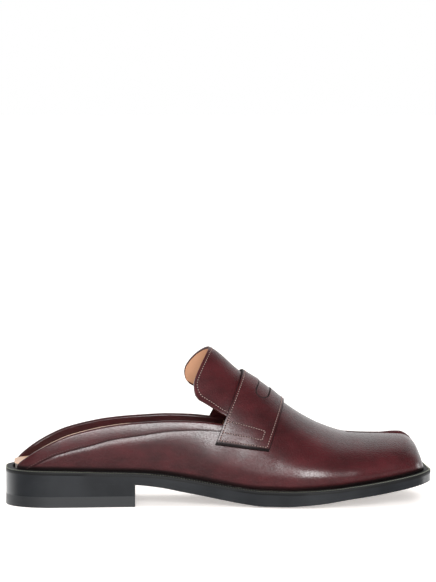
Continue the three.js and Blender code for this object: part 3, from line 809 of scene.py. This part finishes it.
def oxblood():
    """Polished oxblood calf: brushed burgundy glaze, darker in clouds, with a fine break grain,
    blackened where the ink attribute marks edge ink, painted shade and painted reflection.
    """
    calf = finish("oxblood calf", Coat_Roughness=0.25, Specular_IOR_Level=0.08)
    where = calf.place()
    cloud = calf.grain(where, 26, 4, 0.55)
    brush = calf.grain(calf.place((1, 0.6, 2.2)), 75, 5, 0.6)
    pores = calf.grain(where, 1500, 3, 0.62)
    grain = calf.grain(where, 850, 2, 0.5)
    fleck = calf.ramp(calf.grain(where, 1000, 1, 0.5), (0.38, 0.55), (0.60, 1.0))
    # The ink attribute holds edge ink and painted light: painted shade and a painted reflection of
    # the welt at the upper's foot, painted shadow along the collar's edge, and painted shade about
    # the strap.
    ink = calf.node("ShaderNodeAttribute", {"attribute_name": "ink"}, output="Fac")
    glaze = calf.blend(calf.ramp(0.6 * cloud + 0.4 * brush, (0.34, 0), (0.64, 1)),
                       (0.0165, 0.0025, 0.0031), (0.045, 0.0062, 0.0080))
    calf.set(
        Base_Color=calf.blend(ink, glaze, (0.004, 0.0022, 0.0022)),
        Roughness=0.28 + 0.16 * brush + 0.12 * pores + 0.4 * ink,
        Coat_Weight=(0.95 - 0.9 * ink) * fleck,
    )
    calf.bump(0.6 * pores + 2.0 * grain + 0.5 * brush, 0.0006, 0.8)
    return calf.owner


OXBLOOD = oxblood()
LINING_LEATHER = tan_leather("tan lining leather", (0.40, 0.215, 0.125), (0.31, 0.155, 0.088), 0.5)


def cut_out(piece, holes):
    """Deletes the faces that have a point marked in a list of the piece's points."""
    bpy.ops.object.mode_set(mode="EDIT")
    bpy.ops.mesh.select_mode(type="FACE")
    bpy.ops.object.mode_set(mode="OBJECT")
    for polygon in piece.data.polygons:
        polygon.select = any(holes[v] for v in polygon.vertices)
    bpy.ops.object.mode_set(mode="EDIT")
    bpy.ops.mesh.delete(type="FACE")
    bpy.ops.mesh.select_mode(type="VERT")
    bpy.ops.object.mode_set(mode="OBJECT")


def make_upper():
    rows, columns = 230, 150
    openings = []

    def place(share, across):
        at = upper_place(share)
        step = 2 * min(across, 1 - across)
        openings.append(at < THROAT - 1e-6 and step > WALL_SHARE + 0.004)
        return in_frame(*upper_point(at, across))

    piece = shaped_grid("calf_upper", rows, columns, place)
    # Blackens the foot with painted shade and a painted reflection of the welt.
    mark_ink_and_shade(piece)
    cut_out(piece, openings)
    piece.data.materials.append(OXBLOOD)
    piece.data.materials.append(LINING_LEATHER)
    modify(piece, "SOLIDIFY", thickness=UPPER_WALL, offset=-1, use_even_offset=True,
           thickness_clamp=0.5, material_offset=1, material_offset_rim=0)
    smooth(piece, 45)
    return piece


upper = make_upper()
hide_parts("upper")
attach(upper, "root")


# The collar is a strip of the same calf, folded over the quarter's edge and stitched through near
# its lower edge. It thins to a point at the heel seat, and the lining's raw edge shows in its fold.
COLLAR_THICKNESS = 0.0008
COLLAR_LIFT = 0.0001
COLLAR_SWELL = 0.0001
INNER_COLLARS = 1.35
COLLAR_END = 0.468
COLLAR_CROWDING = 1.35
FOLD_START, FOLD_END = 0.42, 0.60
EDGE_INK_AND_SHADOW_WIDTH = 0.0011
INNER_INK = 0.15


def collar_point(side, at, wrap):
    """The strip's outside, from its outer lower edge, wrap 0, over the top to the inner, 1."""
    top = top_line_turn(at, side, 0, FOLD_HEIGHT)
    radius = UPPER_WALL / 2 + COLLAR_LIFT + COLLAR_THICKNESS
    if wrap < FOLD_START:
        low = top_line_turn(at, side, 1.0)
        swell = COLLAR_SWELL * math.sin(math.pi * wrap / FOLD_START)
        return off_skin(at, low + (top - low) * wrap / FOLD_START,
                        COLLAR_LIFT + COLLAR_THICKNESS + swell)
    if wrap > FOLD_END:
        low = top_line_turn(at, side, INNER_COLLARS)
        inner = top + (low - top) * (wrap - FOLD_END) / (1 - FOLD_END)
        return off_skin(at, inner, -UPPER_WALL - COLLAR_LIFT - COLLAR_THICKNESS)
    here, _, over, outward = skin_frame(at, top)
    up = over if side == "lateral" else -over
    angle = (wrap - FOLD_START) / (FOLD_END - FOLD_START) * math.pi
    return (here - outward * (UPPER_WALL / 2) + outward * math.cos(angle) * radius
            + up * math.sin(angle) * FOLD_HEIGHT)


def edge_paint_and_shade():
    """Cut edges of the calf, painted a dark oxblood. The same dark finish is painted shade in the
    stitch channels and needle holes.
    """
    paint = finish("painted calf edge and shade", Specular_IOR_Level=0.12)
    cloud = paint.grain(paint.place(), 900, 3)
    paint.set(
        Base_Color=paint.blend(cloud, (0.005, 0.002, 0.002), (0.012, 0.005, 0.005)),
        Roughness=0.45 + 0.2 * cloud,
    )
    return paint.owner


EDGE_PAINT_AND_SHADE = edge_paint_and_shade()


def make_collar(side):
    ink_and_shade_levels = []

    def place(share, wrap):
        at = QUARTER_START + 0.001 + (COLLAR_END - QUARTER_START) * share**COLLAR_CROWDING
        inside = min(max((wrap - FOLD_START) / (FOLD_END - FOLD_START), 0), 1)
        from_edge = wrap / FOLD_START * COLLAR_WIDTH
        # Black along the strip's lower edge: edge ink, and painted shadow of the edge over the
        # quarter. The inside of the fold is a little darker all over.
        ink_and_shade_levels.append(max(0, 1 - from_edge / EDGE_INK_AND_SHADOW_WIDTH, INNER_INK * inside))
        return in_frame(*collar_point(side, at, wrap))

    piece = shaped_grid(f"collar_strip_{side}", 150, 40, place)
    if side == "medial":
        bpy.ops.object.mode_set(mode="EDIT")
        bpy.ops.mesh.select_all(action="SELECT")
        bpy.ops.mesh.flip_normals()
        bpy.ops.object.mode_set(mode="OBJECT")
    mark_ink_and_shade(piece, ink_and_shade_levels)
    piece.data.materials.append(OXBLOOD)
    piece.data.materials.append(EDGE_PAINT_AND_SHADE)
    modify(piece, "SOLIDIFY", thickness=COLLAR_THICKNESS, offset=-1, material_offset_rim=1)
    smooth(piece, 50)
    return piece


for side in ("lateral", "medial"):
    collar = make_collar(side)
    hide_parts(f"collar_{side}")
    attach(collar, "root")

LINING_BEAD = 0.0006
LINING_BEAD_BACK = 0.0017
LINING_BEAD_END = 0.27
RAW_EDGE = tan_leather("raw lining edge", (0.82, 0.60, 0.44), (0.70, 0.46, 0.32), 0.6)


def make_lining_edge(side):
    """The lining's cut edge: a bead that runs up the fold and dies away towards the strap."""
    def place(share, turn):
        at = QUARTER_START + 0.002 + (LINING_BEAD_END - QUARTER_START) * share
        here, _, over, outward = skin_frame(at, top_line_turn(at, side, 0, FOLD_HEIGHT))
        up = over if side == "lateral" else -over
        size, rise = (LINING_BEAD, 0.72) if side == "lateral" else (LINING_BEAD / 3, 0.5)
        radius = size * min(1, 8 * (1 - share), 0.3 + 12 * share)
        middle = here - outward * LINING_BEAD_BACK + up * (FOLD_HEIGHT * rise)
        angle = 2 * math.pi * turn
        around = outward * math.cos(angle) + up * math.sin(angle)
        return in_frame(*(middle + around * radius))

    piece = shaped_grid(f"lining_edge_{side}", 110, 10, place)
    bpy.ops.object.mode_set(mode="EDIT")
    bpy.ops.mesh.select_all(action="SELECT")
    bpy.ops.mesh.remove_doubles(threshold=1e-6)
    bpy.ops.mesh.select_all(action="DESELECT")
    bpy.ops.mesh.select_mode(type="EDGE")
    bpy.ops.mesh.select_non_manifold()
    bpy.ops.mesh.edge_face_add()
    bpy.ops.mesh.select_mode(type="VERT")
    bpy.ops.mesh.select_all(action="SELECT")
    bpy.ops.mesh.normals_make_consistent(inside=False)
    bpy.ops.object.mode_set(mode="OBJECT")
    piece.data.materials.append(RAW_EDGE)
    smooth(piece, 60)
    return piece


for side in ("lateral", "medial"):
    lining_edge = make_lining_edge(side)
    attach(lining_edge, "root")


# The tongue is calf outside and tan lining inside, with its calf turned in at the edge. It carries
# the vamp's line up the instep and ends in two round corners that flare back and curl out.
TONGUE = Table(
    at=(0.330, 0.400, 0.440, 0.490),
    lateral=(0.720, 0.634, 0.580, 0.524),
    medial=(0.760, 0.668, 0.603, 0.550),
)
TONGUE_END = 0.358
TONGUE_FLARE = {"lateral": 0.010, "medial": 0.032}
TONGUE_FLARE_REACH = 0.92
TONGUE_BEND = 1.7
TONGUE_ROUND = 0.028
TONGUE_CORNER = 0.22
TONGUE_CURL = 0.0022


def tongue_point(back, across, distance):
    """The tongue by a share from its end, 0, to the vamp, 1, and a share across."""
    middle = abs(2 * across - 1)
    side = "lateral" if across < 0.5 else "medial"
    corner = max(0, (middle - 1 + TONGUE_CORNER) / TONGUE_CORNER)
    reach = min(1, middle / TONGUE_FLARE_REACH)
    flare = TONGUE_FLARE[side] * math.sin(math.pi / 2 * reach) ** TONGUE_BEND
    end = TONGUE_END - flare + TONGUE_ROUND * (1 - math.sqrt(1 - min(1, corner) ** 2))
    at = end + (THROAT - 0.002 - end) * back
    low = turn_at(at, "lateral", TONGUE("lateral", at) * INSTEP_HEIGHT)
    high = turn_at(at, "medial", TONGUE("medial", at) * INSTEP_HEIGHT)
    curl = TONGUE_CURL * middle**4 * (1 - back)
    return off_skin(at, low + (high - low) * across, distance + curl)


TONGUE_ROWS, TONGUE_COLUMNS = 70, 90
TURNED_IN = 1


def make_tongue():
    """The tongue, whose calf is turned in over the lining at its edge."""
    piece = shaped_grid("loafer_tongue", TONGUE_ROWS, TONGUE_COLUMNS,
                        lambda back, across: in_frame(*tongue_point(back, across, 0)))
    mark_ink_and_shade(piece)
    for material in (OXBLOOD, LINING_LEATHER, OXBLOOD, OXBLOOD):
        piece.data.materials.append(material)
    for number, polygon in enumerate(piece.data.polygons):
        column, row = divmod(number, TONGUE_ROWS)
        at_side = min(column, TONGUE_COLUMNS - 1 - column) < TURNED_IN
        polygon.material_index = 2 if at_side or row < TURNED_IN else 0
    modify(piece, "SOLIDIFY", thickness=UPPER_WALL, offset=-1, material_offset=1,
           material_offset_rim=0)
    modify(piece, "BEVEL", width=0.0005, segments=3, limit_method="ANGLE",
           angle_limit=math.radians(60))
    smooth(piece, 50)
    return piece


tongue = make_tongue()
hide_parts("tongue")
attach(tongue, "root")


# The saddle strap is a thick strip of calf across the vamp, with inked edges, and painted shade
# blackens its face along them. A slot is cut over the ridge and backed with the same calf. Both ends
# are stitched down in a box on the quarters.
STRAP = Table(at=(0.455, 0.592), lateral=(0.384, 0.343), medial=(0.400, 0.360))
STRAP_BACK = 0.461
STRAP_FRONT = 0.592
STRAP_LEAN = {"lateral": 0.007, "medial": 0.034}
STRAP_WALL = 0.0018
SLOT_PLACE = 0.53
SLOT_WIDTH = 0.010
SLOT_LENGTH = 0.043
SLOT_SINK = 0.0006
SLOT_STEP = 0.0007
SLOT_INK_AND_SHADE = 0.0004
STRAP_BREADTH = 0.038
STRAP_REACH = 0.085
STRAP_END_LESS = 0.0006
STRAP_EDGE_INK_AND_SHADE = 0.0007


def strap_point(ahead, across, distance):
    """The strap by a share from its back edge, 0, to its front, 1, and across from -1 to 1."""
    side = "lateral" if across < 0 else "medial"
    lean = STRAP_LEAN[side] * abs(across)
    at = STRAP_BACK + (STRAP_FRONT - STRAP_BACK) * ahead - lean
    end = turn_at(at, side, STRAP(side, at) * INSTEP_HEIGHT)
    return off_skin(at, 0.5 + (end - 0.5) * abs(across), distance)


slot_middle = ridge_point(SLOT_PLACE)
slot_ahead = (ridge_point(SLOT_PLACE + 0.01) - slot_middle).normalized()


def slot_distance(point):
    """How far a point is outside the slot's edge."""
    ahead, across = (point - slot_middle).dot(slot_ahead), point.y - slot_middle.y
    radius = SLOT_WIDTH / 2
    reach = SLOT_LENGTH / 2 - radius
    centre = min(max(across, -reach), reach)
    return math.hypot(ahead, across - centre) - radius


def make_strap():
    """The strap, whose slot shows the calf behind it a little lower, within a dark cut edge that is
    inked and painted with the shade of the slot's depth.
    """
    ink_and_shade_levels = []

    def place(ahead, share):
        point = strap_point(ahead, 2 * share - 1, GAP + STRAP_WALL)
        on_top = abs(2 * share - 1) < 0.6
        from_slot = slot_distance(point) if on_top else 1
        sunk = min(max(0.5 - from_slot / SLOT_STEP, 0), 1) * SLOT_SINK
        side_edge = min(ahead, 1 - ahead) * STRAP_BREADTH
        end_edge = (1 - abs(2 * share - 1)) * STRAP_REACH - STRAP_END_LESS
        # Black along the cut edges, in a wider band at both ends and round the slot: edge ink, with
        # painted shade of the strap's thickness at its edges and ends, and of the slot's depth.
        ink_and_shade_levels.append(min(max(
            1.2 - min(side_edge, end_edge) / STRAP_EDGE_INK_AND_SHADE,
            1.56 - 0.6 * end_edge / 0.001,
            1.7 - abs(from_slot) / SLOT_INK_AND_SHADE,
            0,
        ), 1))
        return in_frame(*strap_point(ahead, 2 * share - 1, GAP + STRAP_WALL - sunk))

    piece = shaped_grid("saddle_strap_calf", 130, 300, place)
    mark_ink_and_shade(piece, ink_and_shade_levels)
    piece.data.materials.append(OXBLOOD)
    piece.data.materials.append(EDGE_PAINT_AND_SHADE)
    modify(piece, "SOLIDIFY", thickness=STRAP_WALL, offset=-1, material_offset_rim=1)
    modify(piece, "BEVEL", width=0.00022, segments=2, limit_method="ANGLE",
           angle_limit=math.radians(60))
    smooth(piece, 50)
    return piece


strap = make_strap()
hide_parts("saddle_strap")
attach(strap, "root")


# All seams are machine stitched in waxed thread: one dark row on each collar, and paler rows round
# the tongue and along the strap's edges and its boxed ends. A thin dark strip under each row is
# painted shade of its shallow channel, and a dark bead at each needle hole is painted shade.
STITCH = 0.0019
STITCH_THICKNESS = 0.00060
THREAD_SHARE = 0.56
HOLE_SHADE = 0.00050
CHANNEL_SHADE = 0.0008
CHANNEL_SHADE_LIFT = 0.00004


def thread(name, colour):
    waxed = finish(name, Base_Color=colour, Roughness=0.7)
    twist = waxed.grain(waxed.place((1, 1, 3)), 2200, 1)
    waxed.bump(twist, 0.0001, 0.6)
    return waxed.owner


THREAD = thread("waxed thread", (0.26, 0.165, 0.15))
DARK_THREAD = thread("dark waxed thread", (0.060, 0.028, 0.028))


def make_bead(material, *size):
    """A small rounded bead: one stitch, or the painted shade of one needle hole."""
    bpy.ops.object.select_all(action="DESELECT")
    bpy.ops.mesh.primitive_uv_sphere_add(segments=8, ring_count=6, radius=0.5, scale=size)
    bpy.ops.object.transform_apply(location=False, rotation=False, scale=True)
    bead = bpy.context.object
    bead.data.materials.append(material)
    return bead


def make_channel_shade(row):
    """A thin dark strip along a row of stitches, the painted shade of the channel it lies in."""
    def place(share, across):
        k = round(share * (len(row) - 1))
        middle, outward = row[k]
        ahead = row[min(k + 1, len(row) - 1)][0] - row[max(k - 1, 0)][0]
        aside = outward.cross(ahead).normalized() * CHANNEL_SHADE * (across - 0.5)
        return middle + outward * CHANNEL_SHADE_LIFT + aside

    channel_shade = shaped_grid("stitch_channel_shade", len(row) - 1, 1, place)
    channel_shade.data.materials.append(EDGE_PAINT_AND_SHADE)
    return channel_shade


def bead_places(row):
    """Where holes and stitches come in turn along a row, each with its turn."""
    run = [0]
    for (a, _), (b, _) in zip(row, row[1:]):
        run.append(run[-1] + (b - a).length)
    count = max(1, round(run[-1] / STITCH))
    k = 0
    for number in range(2 * count + 1):
        goal = run[-1] * number / (2 * count)
        while k < len(row) - 2 and run[k + 1] < goal:
            k += 1
        share = (goal - run[k]) / (run[k + 1] - run[k])
        middle = row[k][0].lerp(row[k + 1][0], share)
        outward = row[k][1].lerp(row[k + 1][1], share).normalized()
        ahead = (row[k + 1][0] - row[k][0]).normalized()
        turn = Matrix((ahead, outward.cross(ahead).normalized(), outward)).transposed()
        yield Matrix.Translation(middle) @ turn.to_4x4()


def sew(name, rows, cotton):
    """Stitches of one length along rows of (point, outward) pairs, joined in one piece."""
    stitch = make_bead(cotton, STITCH * THREAD_SHARE, STITCH_THICKNESS, STITCH_THICKNESS)
    # Dark beads between the stitches are painted shade of the needle holes.
    hole_shade = make_bead(EDGE_PAINT_AND_SHADE, HOLE_SHADE, HOLE_SHADE * 1.3, HOLE_SHADE * 0.5)
    pieces = []
    for row in rows:
        pieces.append(make_channel_shade(row))
        for number, place in enumerate(bead_places(row)):
            bead = (stitch if number % 2 else hole_shade).copy()
            bead.data = bead.data.copy()
            bead.data.transform(place)
            bpy.context.collection.objects.link(bead)
            pieces.append(bead)
    for pattern in (stitch, hole_shade):
        bpy.data.objects.remove(pattern)
    bpy.ops.object.select_all(action="DESELECT")
    for piece in pieces:
        piece.select_set(True)
    seam = pieces[0]
    bpy.context.view_layer.objects.active = seam
    bpy.ops.object.join()
    seam.name = name
    smooth(seam, 60)
    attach(seam, "root")


def row_of(point_at, count=60):
    """Pairs of a point and its outward direction along point_at(share, lift)."""
    row = []
    for k in range(count + 1):
        low, high = point_at(k / count, 0), point_at(k / count, 0.001)
        row.append((in_frame(*low), (high - low).normalized()))
    return row


ROW_START, ROW_END = QUARTER_START + 0.022, COLLAR_END - 0.004
ROW_COLLARS = 0.86


def collar_row(side):
    """One row just above the strip's lower edge."""
    def point_at(share, lift):
        at = ROW_START + (ROW_END - ROW_START) * share**1.2
        turn = top_line_turn(at, side, ROW_COLLARS)
        return off_skin(at, turn, COLLAR_LIFT + COLLAR_THICKNESS + lift)
    return row_of(point_at, 90)


TONGUE_ROW_END, TONGUE_ROW_SIDE = 0.055, 0.022
ROW_TURN_BACK, ROW_TURN_ACROSS = 0.13, 0.06


def tongue_row():
    """One row inside the tongue's edge, round both corners."""
    def point_at(share, lift):
        half = min(share, 1 - share)
        if half < 0.25:
            back, across = 1 - (1 - TONGUE_ROW_END - ROW_TURN_BACK) * half / 0.25, TONGUE_ROW_SIDE
        elif half < 0.35:
            angle = (half - 0.25) / 0.1 * math.pi / 2
            back = TONGUE_ROW_END + ROW_TURN_BACK * (1 - math.sin(angle))
            across = TONGUE_ROW_SIDE + ROW_TURN_ACROSS * (1 - math.cos(angle))
        else:
            back, start = TONGUE_ROW_END, TONGUE_ROW_SIDE + ROW_TURN_ACROSS
            across = start + (0.5 - start) * (half - 0.35) / 0.15
        return tongue_point(back, across if share < 0.5 else 1 - across, lift)
    return row_of(point_at, 200)


STRAP_EDGE_ROW = 0.055
BOX_ROWS = (0.80, 0.898, 0.965)
BOX_FRONT = 0.81


def strap_line(start, end, count=60):
    """A row between two places on the strap, each (share ahead, share across)."""
    def point_at(share, lift):
        ahead = start[0] + (end[0] - start[0]) * share
        across = start[1] + (end[1] - start[1]) * share
        return strap_point(ahead, across, GAP + STRAP_WALL + lift)
    return row_of(point_at, count)


def strap_rows(sign):
    """The rows of one half of the strap: both edges, three rows at the end, and the box's front."""
    rows = [
        strap_line((STRAP_EDGE_ROW, 0), (STRAP_EDGE_ROW, sign * BOX_ROWS[2])),
        strap_line((1 - STRAP_EDGE_ROW, 0), (1 - STRAP_EDGE_ROW, sign * BOX_ROWS[2])),
    ]
    for across, ahead in zip(BOX_ROWS, (BOX_FRONT, BOX_FRONT, 1 - STRAP_EDGE_ROW)):
        rows.append(strap_line((STRAP_EDGE_ROW, sign * across), (ahead, sign * across), 20))
    rows.append(strap_line((BOX_FRONT, sign * BOX_ROWS[0]), (BOX_FRONT, sign * BOX_ROWS[1]), 8))
    return rows


sew("collar_stitches", [collar_row("lateral"), collar_row("medial")], DARK_THREAD)
sew("tongue_stitches", [tongue_row()], THREAD)
sew("strap_stitches", strap_rows(-1) + strap_rows(1), THREAD)
